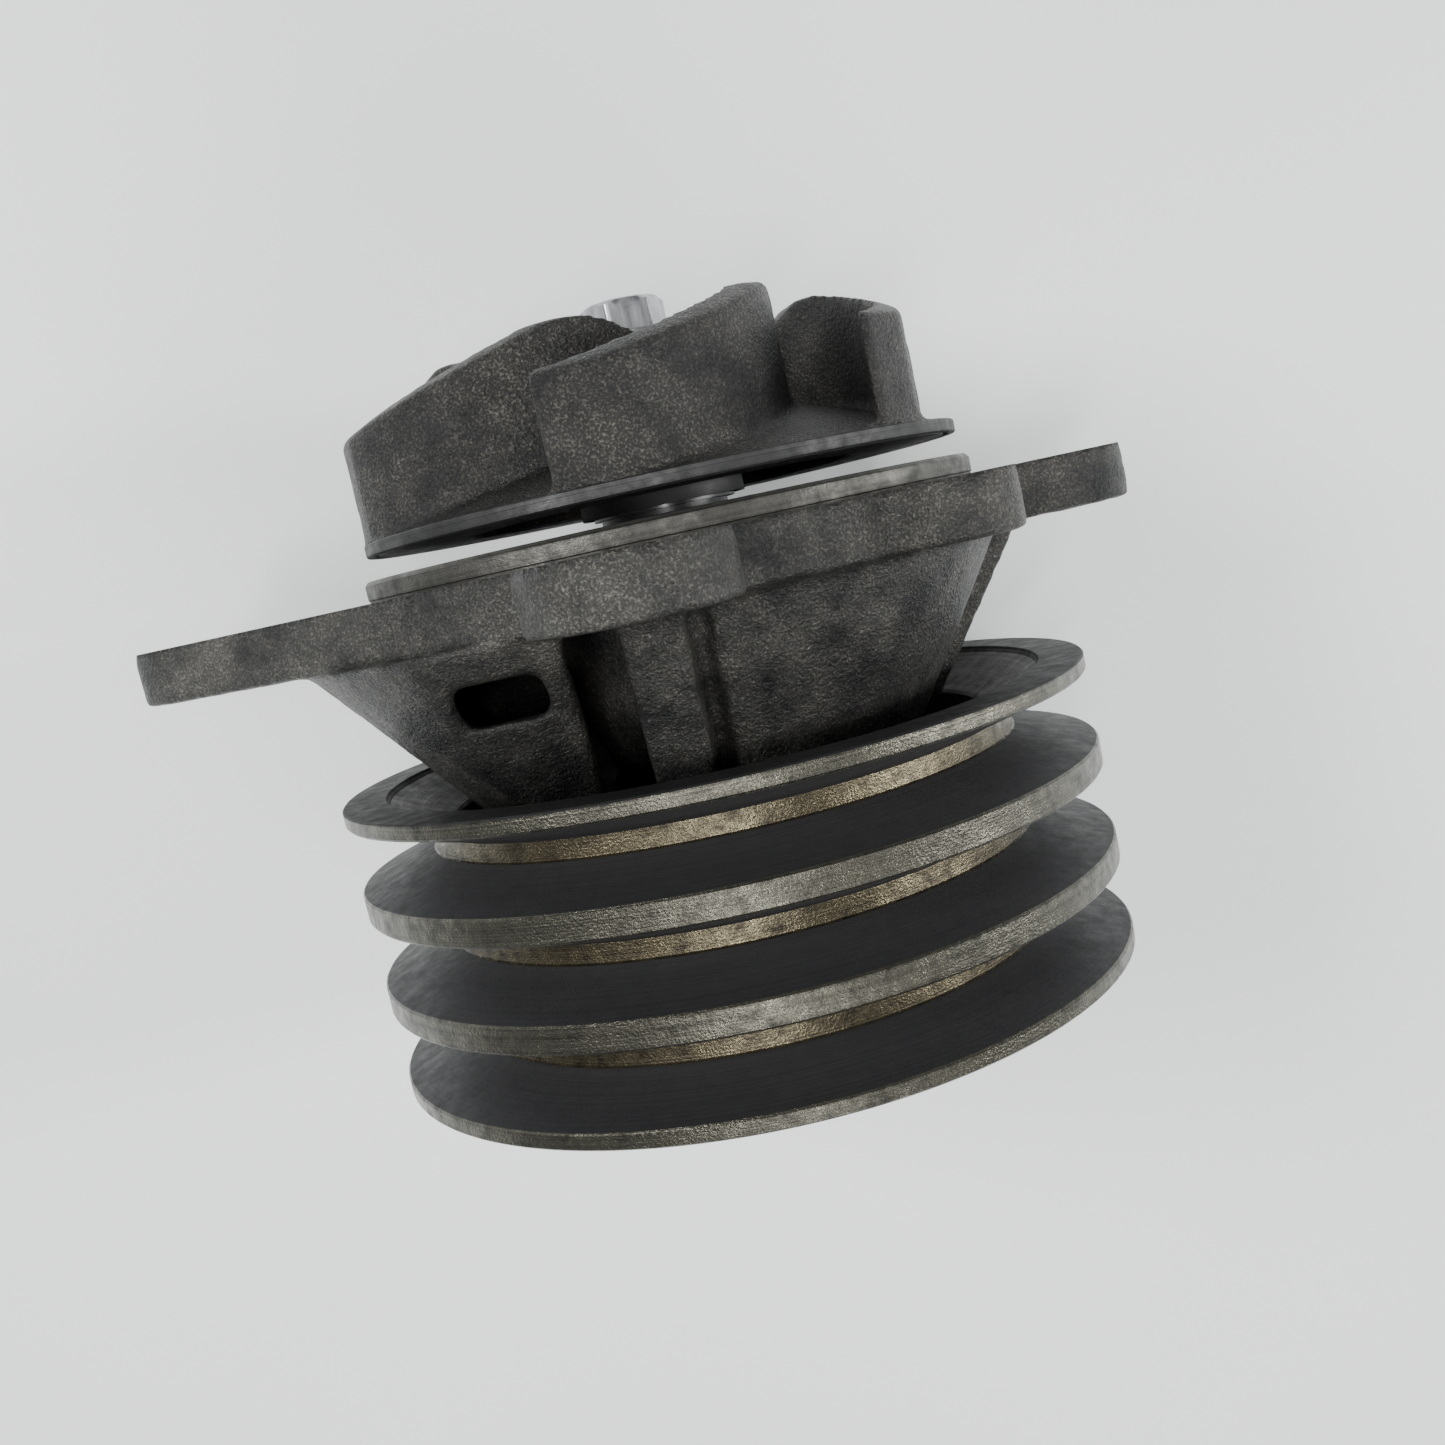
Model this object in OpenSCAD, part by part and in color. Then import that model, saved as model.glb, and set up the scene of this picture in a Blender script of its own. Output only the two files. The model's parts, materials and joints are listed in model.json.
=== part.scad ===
// Belt-driven water pump for a heavy engine, in millimetres.
// The pump lies on its side: the shaft runs along Y, the impeller is at +Y and the pulley at -Y.
// The origin is the centre of the flange's mounting face.
// Every piece is drawn along its own shaft line first (z towards the impeller) and then laid down.

/* [Pulley] */
// Outside diameter of the four rims
pulley_d = 158.75; // [154:0.25:162]
// Number of belt grooves
groove_count = 3; // [3]
// Distance from one groove's middle to the next
groove_pitch = 19.76; // [19.4:0.02:20]
// Width of a groove at the rims
groove_top_w = 14.45; // [14:0.05:15]
// Depth of a groove below the rims
groove_depth = 16.5; // [15:0.5:17]
// Slope of each groove wall away from square
groove_wall_angle = 17; // [16:0.5:18]
// Width of the first and the last rim
end_rim_w = 3.2; // [3:0.1:4]
// Mouth diameter of the cup that faces the housing
cup_mouth_d = 140; // [138:1:142]
// Inside diameter of the cup
cup_d = 114; // [110:1:115]
// Thickness of the pulley's web
pulley_web_t = 8; // [6:1:10]
// Distance from the mounting face back to the first rim
pulley_offset = 39.5; // [39:0.5:41]

/* [Flange] */
// Thickness of the mounting flange
flange_t = 11.2; // [10:0.2:12]
// Diameter of the round body of the flange
flange_body_d = 142; // [140:1:144]
// Diameter of the pilot that centres the pump
pilot_d = 128.4; // [127:0.2:129]
// Height of the pilot above the mounting face
pilot_h = 4.3; // [4:0.1:5]
// Diameter of the mounting bolt holes, for 3/8 inch bolts
bolt_hole_d = 10.6; // [10:0.1:11]

/* [Impeller] */
// Diameter of the impeller plate
impeller_d = 125; // [122:1:126]
// Thickness of the plate at its rim
plate_t = 2.6; // [2.4:0.1:3]
// Gap from the mounting face to the plate
plate_gap = 9; // [8.5:0.1:9.5]
// Number of vanes
vane_count = 6; // [5:1:7]
// Thickness of a vane
vane_t = 5.4; // [4.5:0.1:6]
// Direction of the first vane's tip
vane_tip_angle = 14; // [0:1:59]
// Radius of a vane's curve
vane_curve_r = 42.8; // [40:0.2:45]
// Angle between a vane's tip and the rim's tangent
vane_exit_angle = 15; // [10:1:20]

/* [Shaft and bearings] */
// Shaft diameter under the impeller and the seal
shaft_seal_d = 16; // [16]
// Bore of the bearing behind the seal
rear_bore_d = 17; // [17]
// Outside diameter of the bearing behind the seal
rear_od = 35; // [35]
// Width of the bearing behind the seal
rear_w = 10; // [10]
// Bore of the bearing inside the pulley
front_bore_d = 25; // [25]
// Outside diameter of the bearing inside the pulley
front_od = 52; // [52]
// Width of the bearing inside the pulley
front_w = 15; // [15]
// Shaft diameter in the pulley's hub
shaft_pulley_d = 23; // [22:0.5:24]

/* [Hidden] */
$fn = 96;
round_fn = 32;
cut = 0.5;            // how far a cutter runs past the face that it cuts
running_gap = 0.04;   // radial clearance of pieces that turn past each other

// Pulley levels and radii
pulley_r = pulley_d / 2;
pulley_top = -pulley_offset;
pulley_w = 2 * end_rim_w + (groove_count - 1) * groove_pitch + groove_top_w;
pulley_end = pulley_top - pulley_w;
groove_floor_w = groove_top_w - 2 * groove_depth * tan(groove_wall_angle);
hub_face = pulley_end + 9.9;
web_top = hub_face + 2 + pulley_web_t;
hub_r = 21;
hub_nose_r = 15;
cup_r = cup_d / 2;
cup_throat = pulley_top - 7.5;

// Bearing levels, from the mounting face down to the pulley
rear_top = -27;
rear_bottom = rear_top - rear_w;
front_top = -57.5;
front_bottom = front_top - front_w;
rear_level = rear_top - rear_w / 2;
front_level = front_top - front_w / 2;
rear_ball_count = 10;
front_ball_count = 9;

// Housing
wall_t = 6;
neck_r = 20.6;
neck_bore_r = rear_od / 2;
nest_top = -54.5;
nest_r = 32.5;
nest_bottom = -78.5;
seal_bore_r = 17;
seal_floor = -11;
drain_r = 12.5;
drain_floor = -19;
lip_od_r = 14;

// Mounting lobes: centre and radius of each
left_ear = [-98, -3];
right_ear = [79.7, -3];
top_boss = [-8, -83];
top_lobe = [49.5, -53.5];
foot_x = 46;
foot_r = 17.375;
foot_y = pulley_r - foot_r;
ear_r = 16.5;
boss_r = 18;
lobe_r = 12.5;
bolt_holes = [left_ear, right_ear, top_boss, top_lobe, [-foot_x, foot_y], [foot_x, foot_y]];

// Outer and inner slopes of the housing's flared walls: radius at the flange and how it closes in
right_flare_r = 67.5;
right_flare_slope = 0.613;
left_flare_r = 80;
left_flare_slope = 0.8;
flare_bottom = -56;
rib_x = [-12.2, -0.8];
panel_top_y = -63;
panel_slope = 0.85;
panel_x = [-62, -22.5];

// Impeller levels
plate_bottom = plate_gap;
plate_top = plate_bottom + plate_t;
plate_r = impeller_d / 2;
impeller_hub_r = 15.5;
impeller_hub_top = 40;
vane_tip_h = 31.5;
vane_peak_h = 43.8;
vane_peak_r = 38.7;
vane_inner_r = 25;
seat_level = 12.5;

// Seal levels
seal_face = 6.5;
seat_cup_r = 17.5;

// Fasteners
impeller_washer_t = 2.6;
impeller_head_h = 7.2;
impeller_head_af = 15.88;
impeller_bolt_d = 11.1;
pulley_washer_t = 2.5;
pulley_head_h = 7.4;
pulley_head_af = 19.05;
pulley_bolt_d = 12.7;
shaft_top = impeller_hub_top - 1.5;
shaft_bottom = hub_face + 1.5;
key_w = 5;
key_h = 5;
key_l = 14;
key_bottom = hub_face + 2;

// Turns the shaft line from +Z to +Y, so that the pump lies on its side
module lay() { rotate([-90, 0, 0]) children(); }

// A solid of revolution from its half section
module turned(section) { rotate_extrude() polygon(section); }

// A round bar between two levels
module bar(r, bottom, top) { translate([0, 0, bottom]) cylinder(r = r, h = top - bottom); }

// A tube between two levels
module tube(r_out, r_in, bottom, top)
{
    difference() {
        bar(r_out, bottom, top);
        bar(r_in, bottom - cut, top + cut);
    }
}

// The outline that a belt draws round two circles, its straight sides a hair inside the tangents
module belt_outline(a, ra, b, rb)
{
    away = atan2(b[1] - a[1], b[0] - a[0]);
    lean = acos((ra - rb) / norm(b - a));
    left = 0.99 * [cos(away + lean), sin(away + lean)];
    right = 0.99 * [cos(away - lean), sin(away - lean)];
    translate(a) circle(r = ra);
    translate(b) circle(r = rb);
    polygon([a + ra * left, a + ra * right, b + rb * right, b + rb * left]);
}

// A wedge-shaped column that keeps directions from one angle to another
module sector(from, to, r, bottom, top)
{
    steps = 6;
    rim = [for (i = [0 : steps]) let (a = from + (to - from) * i / steps) r * [cos(a), sin(a)]];
    translate([0, 0, bottom]) linear_extrude(top - bottom) polygon(concat([[0, 0]], rim));
}

// A flared shell that closes in from the flange towards the pulley, with a floor at its small end
module flare(r_top, slope)
{
    h = -flange_t - flare_bottom + cut;
    floor_t = wall_t / slope;
    r_small = r_top - slope * h;
    turned([[0, flare_bottom], [r_small, flare_bottom], [r_top, flare_bottom + h],
            [r_top - wall_t, flare_bottom + h], [r_small, flare_bottom + floor_t],
            [0, flare_bottom + floor_t]]);
}

// A hexagon head with its corners turned to an angle
module hex_head(af, bottom, h, turn)
{
    rotate(turn) translate([0, 0, bottom]) cylinder(d = af / cos(30), h = h, $fn = 6);
}

/* ---- Housing ---- */

module flange_outline()
{
    body_r = flange_body_d / 2;
    belt_outline([0, 0], body_r, left_ear, ear_r);
    belt_outline([30, -3], ear_r + 1, right_ear, ear_r);
    belt_outline([-8, -30], boss_r + 0.1, top_boss, boss_r);
    belt_outline([25, -30], lobe_r + 6, top_lobe, lobe_r);
    for (side = [-1, 1]) belt_outline([side * 20, 20], foot_r + 6, [side * foot_x, foot_y], foot_r);
}

// The flange with its pilot, bored out by the housing
module flange_plate()
{
    translate([0, 0, -flange_t]) linear_extrude(flange_t) flange_outline();
    pilot_r = pilot_d / 2;
    turned([[0, -1], [pilot_r, -1], [pilot_r, pilot_h - 0.7], [pilot_r - 0.7, pilot_h], [0, pilot_h]]);
}

// The tapered neck round the shaft and the nest of the bearing inside the pulley
module neck()
{
    turned([[0, 0], [34, -cut], [31, -flange_t], [30, -13], [26.7, -32.9], [neck_r, -49.9],
            [neck_r, nest_top], [nest_r - 2, nest_top], [nest_r, nest_top - 2], [nest_r, nest_bottom],
            [0, nest_bottom]]);
}

// The flared shell on the right, with its rib under the right ear
module right_wall()
{
    intersection() {
        flare(right_flare_r, right_flare_slope);
        sector(-87, 82, 120, flare_bottom - cut, 0);
    }
    // the groove between the top rib and the shell is closed further in
    intersection() {
        flare(right_flare_r - 4, right_flare_slope);
        sector(-96, -80, 120, flare_bottom - cut, 0);
    }
    translate([0, 5, 0]) rotate([90, 0, 0]) linear_extrude(5)
        polygon([[56, -flange_t + cut], [75, -flange_t + cut], [72.4, -13.6], [57.8, -34.6], [49, -47],
                 [40, -47]]);
}

// Draws a side outline, given as [y, level] points, from one place along X to another
module side_plate(x, outline)
{
    translate([x[0], 0, 0]) rotate([90, 0, 90]) linear_extrude(x[1] - x[0]) polygon(outline);
}

// Where the window panel's front face stands at a level
function panel_y(level) = panel_top_y + panel_slope * (-flange_t - level);

// The flared shell on the left, cut to the slope of the window panel, with a narrower part behind it
module left_wall()
{
    low = flare_bottom - cut;
    intersection() {
        flare(left_flare_r, left_flare_slope);
        sector(150, 235, 130, low, 0);
        side_plate([-150, panel_x[1]], [[panel_y(0), 0], [panel_y(low), low], [100, low], [100, 0]]);
    }
    intersection() {
        turned([[0, flare_bottom], [left_flare_r - left_flare_slope * 45.3, flare_bottom],
                [left_flare_r, -flange_t + cut], [0, -flange_t + cut]]);
        side_plate(panel_x, [[panel_y(0), 0], [panel_y(low), low], [panel_y(low) + wall_t, low],
                             [panel_y(0) + wall_t, 0]]);
    }
    intersection() {
        flare(left_flare_r - 5, left_flare_slope);
        sector(118, 152, 130, low, 0);
    }
}

// The rib that stands under the top boss
module top_rib()
{
    side_plate(rib_x, [[-20, -flange_t + cut], [-74, -flange_t + cut], [-70, -13], [-56, -38], [-50, -46],
                       [-42, -55], [-20, -55]]);
}

// The rounded hole through the window panel
module window_hole()
{
    translate([-35.8, -60, -22]) rotate([-90, 0, 0]) linear_extrude(18)
        intersection() {
            square([16.4, 8.2], center = true);
            circle(r = 8.6, $fn = round_fn);
        }
}

// The stepped bore along the shaft: seal, drain chamber, lip seal and the two bearings
module shaft_passage()
{
    gland_r = shaft_seal_d / 2 + 2;
    front_r = front_od / 2;
    turned([[0, cut], [seal_bore_r, cut], [seal_bore_r, seal_floor], [gland_r, seal_floor],
            [gland_r, seal_floor - 2], [drain_r, seal_floor - 2], [drain_r, drain_floor],
            [lip_od_r, drain_floor], [lip_od_r, rear_top], [neck_bore_r, rear_top],
            [neck_bore_r, front_top], [front_r, front_top], [front_r, front_bottom],
            [front_r + 1.5, front_bottom], [front_r + 1.5, front_bottom - 1.8],
            [front_r, front_bottom - 1.8], [front_r, nest_bottom - cut], [0, nest_bottom - cut]]);
}

module housing()
{
    color("dimgray") lay() difference() {
        union() {
            flange_plate();
            neck();
            right_wall();
            left_wall();
            top_rib();
        }
        // the face inside the pilot is sunk round the seal
        turned([[24, -2], [54.5, -2], [56, pilot_h + cut], [0, pilot_h + cut], [0, 0], [24, 0]]);
        shaft_passage();
        // weep hole from the drain chamber out through the open side of the neck
        translate([0, 0, -16]) rotate([0, 90, 102]) translate([0, 0, 11]) cylinder(d = 5, h = 30);
        window_hole();
        for (p = bolt_holes) translate(p) bar(bolt_hole_d / 2, -flange_t - cut, cut);
    }
}

/* ---- Impeller ---- */

// One vane in plan, with its tip on the X axis
module vane_plan()
{
    centre = [plate_r - vane_curve_r * cos(vane_exit_angle), -vane_curve_r * sin(vane_exit_angle)];
    intersection() {
        circle(r = plate_r - 0.4);
        translate(centre) difference() {
            circle(r = vane_curve_r + vane_t / 2);
            circle(r = vane_curve_r - vane_t / 2);
        }
        polygon([[100, -6], [66, -1], [50, -2], [0, 10], [-2, 60], [100, 60]]);
    }
}

// The envelope that the vanes' tops are cut to
module vane_envelope()
{
    turned([[vane_inner_r - 3, plate_top - 1], [vane_inner_r - 3, 29], [vane_inner_r, 33.5],
            [vane_peak_r - 2, vane_peak_h], [vane_peak_r + 1, vane_peak_h], [plate_r, vane_tip_h],
            [plate_r, plate_top - 1]]);
}

module impeller()
{
    color("dimgray") lay() difference() {
        union() {
            // the plate rises in a hollow cone to the hub
            turned([[0, plate_bottom], [plate_r, plate_bottom], [plate_r, plate_top], [plate_r - 2, plate_top],
                    [34, 21], [21, 28], [impeller_hub_r + 1.5, 34], [impeller_hub_r, impeller_hub_top - 1],
                    [impeller_hub_r - 1, impeller_hub_top], [0, impeller_hub_top]]);
            intersection() {
                vane_envelope();
                for (i = [0 : vane_count - 1])
                    rotate(vane_tip_angle + i * 360 / vane_count)
                        translate([0, 0, plate_top - 1]) linear_extrude(vane_peak_h) vane_plan();
            }
        }
        // hollow underside and the pocket of the seal's seat
        turned([[22, 8], [40.6, 8], [40.6, plate_bottom + 0.9], [33, 14.5], [22, 18]]);
        bar(22 + cut, 0, seat_level);
        bar(shaft_seal_d / 2, 0, impeller_hub_top + cut);
        tube(plate_r - 1.6, plate_r - 2.6, plate_bottom - cut, plate_bottom + 0.5);
    }
}

module impeller_washer()
{
    hole_r = impeller_bolt_d / 2 + 0.3;
    color("silver") lay() tube(13, hole_r, impeller_hub_top, impeller_hub_top + impeller_washer_t);
}

module impeller_bolt()
{
    head_bottom = impeller_hub_top + impeller_washer_t;
    color("gainsboro") lay() {
        intersection() {
            hex_head(impeller_head_af, head_bottom, impeller_head_h, -20);
            turned([[0, head_bottom], [10, head_bottom], [10, head_bottom + impeller_head_h - 0.9],
                    [8, head_bottom + impeller_head_h], [0, head_bottom + impeller_head_h]]);
        }
        bar(impeller_bolt_d / 2, 14, head_bottom + cut);
    }
}

/* ---- Mechanical seal ---- */

module seat_ring() { color("ivory") lay() tube(15.2, 10.6, seal_face, seat_level - 1.5); }

module seat_cup()
{
    color("black") lay() difference() {
        bar(seat_cup_r, seal_face + 0.6, seat_level);
        bar(15.2, 0, seat_level - 1.5);
        bar(shaft_seal_d / 2, 0, seat_level + cut);
    }
}

module seal_carbon() { color("darkslategray") lay() tube(13.6, 10.4, 1.6, seal_face - running_gap); }

module seal_boot()
{
    shaft_r = shaft_seal_d / 2;
    color("black") lay() difference() {
        turned([[shaft_r + 0.8, -9.8], [11.4, -9.8], [11.4, -4], [12.2, -1], [14.8, 0.9], [16.9, 0.9],
                [16.9, 4.6], [16, 5.4], [shaft_r + 0.8, 5.4]]);
        bar(13.6, 1.6, 6);
    }
}

// A coil spring: a round wire swept along a helix, with closed ends
module coil(r, wire_r, bottom, top, turns)
{
    ring_n = 8;
    steps = 20 * turns;
    points = [for (i = [0 : steps]) for (k = [0 : ring_n - 1])
        let (a = 360 * turns * i / steps, b = 360 * k / ring_n, rr = r + wire_r * cos(b))
        [rr * cos(a), rr * sin(a), bottom + (top - bottom) * i / steps + wire_r * sin(b)]];
    sides = [for (i = [0 : steps - 1]) for (k = [0 : ring_n - 1])
        let (k2 = (k + 1) % ring_n)
        [i * ring_n + k, i * ring_n + k2, (i + 1) * ring_n + k2, (i + 1) * ring_n + k]];
    first = [for (k = [ring_n - 1 : -1 : 0]) k];
    last = [for (k = [0 : ring_n - 1]) steps * ring_n + k];
    polyhedron(points, concat(sides, [first, last]), convexity = 6);
}

module seal_spring() { color("silver") lay() coil(13.5, 0.8, -9, -2.2, 4); }

module seal_shell()
{
    color("goldenrod") lay()
        turned([[10.5, seal_floor], [seal_bore_r, seal_floor], [seal_bore_r, 0], [18.8, 0], [18.8, 0.9],
                [seal_bore_r - 1, 0.9], [seal_bore_r - 1, seal_floor + 1], [10.5, seal_floor + 1]]);
}

module slinger()
{
    r = shaft_seal_d / 2;
    color("black") lay() turned([[r, -16.5], [9.8, -16.5], [11.3, -14.2], [11.3, -13.6], [r, -13.6]]);
}

module lip_seal()
{
    r = rear_bore_d / 2;
    color("sienna") lay()
        turned([[r + 1.6, -25.8], [lip_od_r, -25.8], [lip_od_r, -19.2], [12.4, -19.2], [12.4, -24],
                [10.8, -24], [10.8, -20.5], [r + running_gap, -21.5], [r + running_gap, -22.1]]);
}

module garter_spring()
{
    color("silver") lay()
        translate([0, 0, -21.6]) rotate_extrude() translate([11.4, 0]) circle(r = 0.55, $fn = 24);
}

/* ---- Shaft ---- */

module shaft()
{
    rear_r = rear_bore_d / 2;
    front_r = front_bore_d / 2;
    seat_r = shaft_seal_d / 2;
    end_r = shaft_pulley_d / 2;
    color("lightsteelblue") lay() difference() {
        turned([[0, shaft_bottom], [end_r - 0.8, shaft_bottom], [end_r, shaft_bottom + 0.8],
                [end_r, front_bottom], [front_r, front_bottom], [front_r, front_top], [15, front_top],
                [15, front_top + 5], [10.8, front_top + 9], [10.8, rear_bottom], [rear_r, rear_bottom],
                [rear_r, -18], [seat_r, -17.4], [seat_r, shaft_top - 1], [seat_r - 1, shaft_top],
                [0, shaft_top]]);
        bar(impeller_bolt_d / 2, 12, shaft_top + cut);
        bar(pulley_bolt_d / 2, shaft_bottom - cut, shaft_bottom + 24);
        translate([end_r - 3, -key_w / 2, key_bottom]) cube([4, key_w, key_l]);
    }
}

/* ---- Bearings ---- */

// Radius of a ball, and of the circle that the balls run on
function ball_r(bore, od) = 0.3 * (od - bore) / 2;
function pitch_r(bore, od) = (od + bore) / 4;

module outer_ring(bore, od, bottom, top)
{
    land = pitch_r(bore, od) + 0.55 * ball_r(bore, od);
    difference() {
        tube(od / 2, land, bottom, top);
        raceway(bore, od, (bottom + top) / 2);
    }
}

module inner_ring(bore, od, bottom, top)
{
    land = pitch_r(bore, od) - 0.55 * ball_r(bore, od);
    difference() {
        tube(land, bore / 2, bottom, top);
        raceway(bore, od, (bottom + top) / 2);
    }
}

// The groove that the balls run in
module raceway(bore, od, level)
{
    translate([0, 0, level]) rotate_extrude()
        translate([pitch_r(bore, od), 0]) circle(r = ball_r(bore, od) + running_gap, $fn = 48);
}

module balls(bore, od, level, count)
{
    for (i = [0 : count - 1]) rotate(i * 360 / count)
        translate([pitch_r(bore, od), 0, level]) sphere(r = ball_r(bore, od), $fn = round_fn);
}

// The ring that keeps the balls apart, with a pocket for each
module cage(bore, od, level, count)
{
    r = ball_r(bore, od);
    p = pitch_r(bore, od);
    difference() {
        tube(p + 0.32 * r, p - 0.32 * r, level - 1.25 * r, level + 1.25 * r);
        for (i = [0 : count - 1]) rotate(i * 360 / count)
            translate([p - r, 0, level]) rotate([0, 90, 0]) cylinder(r = r + 0.12, h = 2 * r);
    }
}

module rear_outer_ring()
{
    color("slategray") lay() outer_ring(rear_bore_d, rear_od, rear_bottom, rear_top);
}

module rear_inner_ring()
{
    color("lightslategray") lay() inner_ring(rear_bore_d, rear_od, rear_bottom, rear_top);
}

module rear_balls()
{
    color("white") lay() balls(rear_bore_d, rear_od, rear_level, rear_ball_count);
}

module rear_cage()
{
    color("darkgoldenrod") lay() cage(rear_bore_d, rear_od, rear_level, rear_ball_count);
}

module front_outer_ring()
{
    color("slategray") lay() outer_ring(front_bore_d, front_od, front_bottom, front_top);
}

module front_inner_ring()
{
    color("lightslategray") lay() inner_ring(front_bore_d, front_od, front_bottom, front_top);
}

module front_balls()
{
    color("white") lay() balls(front_bore_d, front_od, front_level, front_ball_count);
}

module front_cage()
{
    color("darkgoldenrod") lay() cage(front_bore_d, front_od, front_level, front_ball_count);
}

module snap_ring()
{
    r = front_od / 2 + 1.3;
    color("gray") lay() difference() {
        tube(r, r - 3.6, front_bottom - 1.6, front_bottom);
        translate([r - 10, -4, front_bottom - 3]) cube([20, 8, 6]);
    }
}

module dust_seal()
{
    color("black") lay() tube(front_od / 2, hub_r + running_gap, nest_bottom + 0.4, nest_bottom + 3.6);
}

/* ---- Pulley ---- */

module pulley()
{
    floor_r = pulley_r - groove_depth;
    color("gray") lay() difference() {
        bar(pulley_r, pulley_end, pulley_top);
        for (i = [0 : groove_count - 1]) {
            middle = pulley_top - end_rim_w - groove_top_w / 2 - i * groove_pitch;
            turned([[floor_r, middle - groove_floor_w / 2], [pulley_r, middle - groove_top_w / 2],
                    [pulley_r + 1, middle - groove_top_w / 2], [pulley_r + 1, middle + groove_top_w / 2],
                    [pulley_r, middle + groove_top_w / 2], [floor_r, middle + groove_floor_w / 2]]);
        }
        // cup that the housing reaches into, round the hub and its nose
        turned([[hub_r, web_top], [cup_r, web_top], [cup_r, cup_throat], [cup_mouth_d / 2, pulley_top - 1],
                [cup_mouth_d / 2, pulley_top + 1], [hub_nose_r, pulley_top + 1],
                [hub_nose_r, front_bottom - 2.5], [hub_r, front_bottom - 2.5]]);
        bar(hub_nose_r + 1, front_bottom, pulley_top + 1);
        // hollow outer face
        turned([[0, pulley_end - 1], [cup_r + 1, pulley_end - 1], [cup_r, web_top - pulley_web_t],
                [hub_r + 1, web_top - pulley_web_t], [hub_r, hub_face], [0, hub_face]]);
        bar(shaft_pulley_d / 2, pulley_end - 1, pulley_top + 1);
        translate([0, -key_w / 2, hub_face - 1])
            cube([shaft_pulley_d / 2 + 2, key_w, key_bottom + key_l + 1.5 - hub_face]);
        // puller holes
        for (a = [0, 180]) rotate(a + 90) translate([39, 0, hub_face - 2]) cylinder(d = 9, h = 20);
    }
}

module pulley_key()
{
    color("gray") lay()
        translate([shaft_pulley_d / 2 - 3, -key_w / 2, key_bottom]) cube([key_h, key_w, key_l]);
}

module pulley_washer()
{
    color("silver") lay() tube(15, pulley_bolt_d / 2 + 0.3, hub_face - pulley_washer_t, hub_face);
}

module pulley_bolt()
{
    head_top = hub_face - pulley_washer_t;
    color("gainsboro") lay() {
        intersection() {
            hex_head(pulley_head_af, head_top - pulley_head_h, pulley_head_h, 10);
            turned([[0, head_top], [12, head_top], [12, head_top - pulley_head_h + 1],
                    [9.6, head_top - pulley_head_h], [0, head_top - pulley_head_h]]);
        }
        bar(pulley_bolt_d / 2, head_top - cut, shaft_bottom + 22);
    }
}

housing();
impeller();
impeller_washer();
impeller_bolt();
seat_ring();
seat_cup();
seal_carbon();
seal_boot();
seal_spring();
seal_shell();
slinger();
lip_seal();
garter_spring();
shaft();
rear_outer_ring();
rear_inner_ring();
rear_balls();
rear_cage();
front_outer_ring();
front_inner_ring();
front_balls();
front_cage();
snap_ring();
dust_seal();
pulley();
pulley_key();
pulley_washer();
pulley_bolt();
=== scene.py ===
import json
import math

import bpy
import numpy as np
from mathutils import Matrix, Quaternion, Vector


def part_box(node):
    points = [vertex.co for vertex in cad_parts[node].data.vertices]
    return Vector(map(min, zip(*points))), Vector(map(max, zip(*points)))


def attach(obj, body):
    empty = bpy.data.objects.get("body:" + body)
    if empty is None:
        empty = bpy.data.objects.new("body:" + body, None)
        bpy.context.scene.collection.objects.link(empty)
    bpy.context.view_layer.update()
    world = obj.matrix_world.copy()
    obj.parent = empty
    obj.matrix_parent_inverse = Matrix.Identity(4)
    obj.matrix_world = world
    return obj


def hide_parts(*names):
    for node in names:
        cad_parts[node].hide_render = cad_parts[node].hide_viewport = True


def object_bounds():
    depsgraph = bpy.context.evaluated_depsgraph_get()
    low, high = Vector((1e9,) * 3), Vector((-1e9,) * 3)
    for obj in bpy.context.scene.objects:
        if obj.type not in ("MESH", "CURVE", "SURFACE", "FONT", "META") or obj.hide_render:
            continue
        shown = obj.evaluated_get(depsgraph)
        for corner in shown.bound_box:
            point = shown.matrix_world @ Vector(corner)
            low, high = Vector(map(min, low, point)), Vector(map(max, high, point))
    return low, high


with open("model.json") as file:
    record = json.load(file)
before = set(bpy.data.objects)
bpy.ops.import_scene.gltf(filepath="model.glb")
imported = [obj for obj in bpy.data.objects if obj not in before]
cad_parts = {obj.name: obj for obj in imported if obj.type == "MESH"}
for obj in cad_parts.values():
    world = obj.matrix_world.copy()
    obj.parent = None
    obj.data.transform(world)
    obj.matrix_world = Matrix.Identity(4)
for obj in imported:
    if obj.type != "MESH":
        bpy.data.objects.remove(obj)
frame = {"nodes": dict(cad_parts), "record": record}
solid_low, solid_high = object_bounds()

# ---- Camera ----
# A hand-held view from above: the pump lies on its side with the impeller at the top of the frame, and
# the view leans a little, so that the shaft runs down to the right.

mm = 0.001
camera_data = bpy.data.cameras.new("view")
camera_data.sensor_width = 36.0
camera_data.lens = 35.77
camera_data.clip_start = 0.01
camera = bpy.data.objects.new("view", camera_data)
camera.location = (0.0, -0.83 * mm, 308.2 * mm)
camera.rotation_mode = "QUATERNION"
view_turn = Vector((-0.1276, -0.0214, -0.2145))
camera.rotation_quaternion = Quaternion(view_turn.normalized(), view_turn.length)
bpy.context.scene.collection.objects.link(camera)
bpy.context.scene.camera = camera

# ---- Floor and light ----
# A pale, faintly scuffed table top under a bright, even room: white walls, a window on the left, a narrow
# one on the right and a strip lamp overhead, which draw the glints along the pulley's rims.


def new_material(name):
    """An empty node material with its shader: returns the material, its nodes, its links and the shader."""
    material = bpy.data.materials.new(name)
    material.use_nodes = True
    tree = material.node_tree
    return material, tree.nodes, tree.links, tree.nodes["Principled BSDF"]


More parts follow.
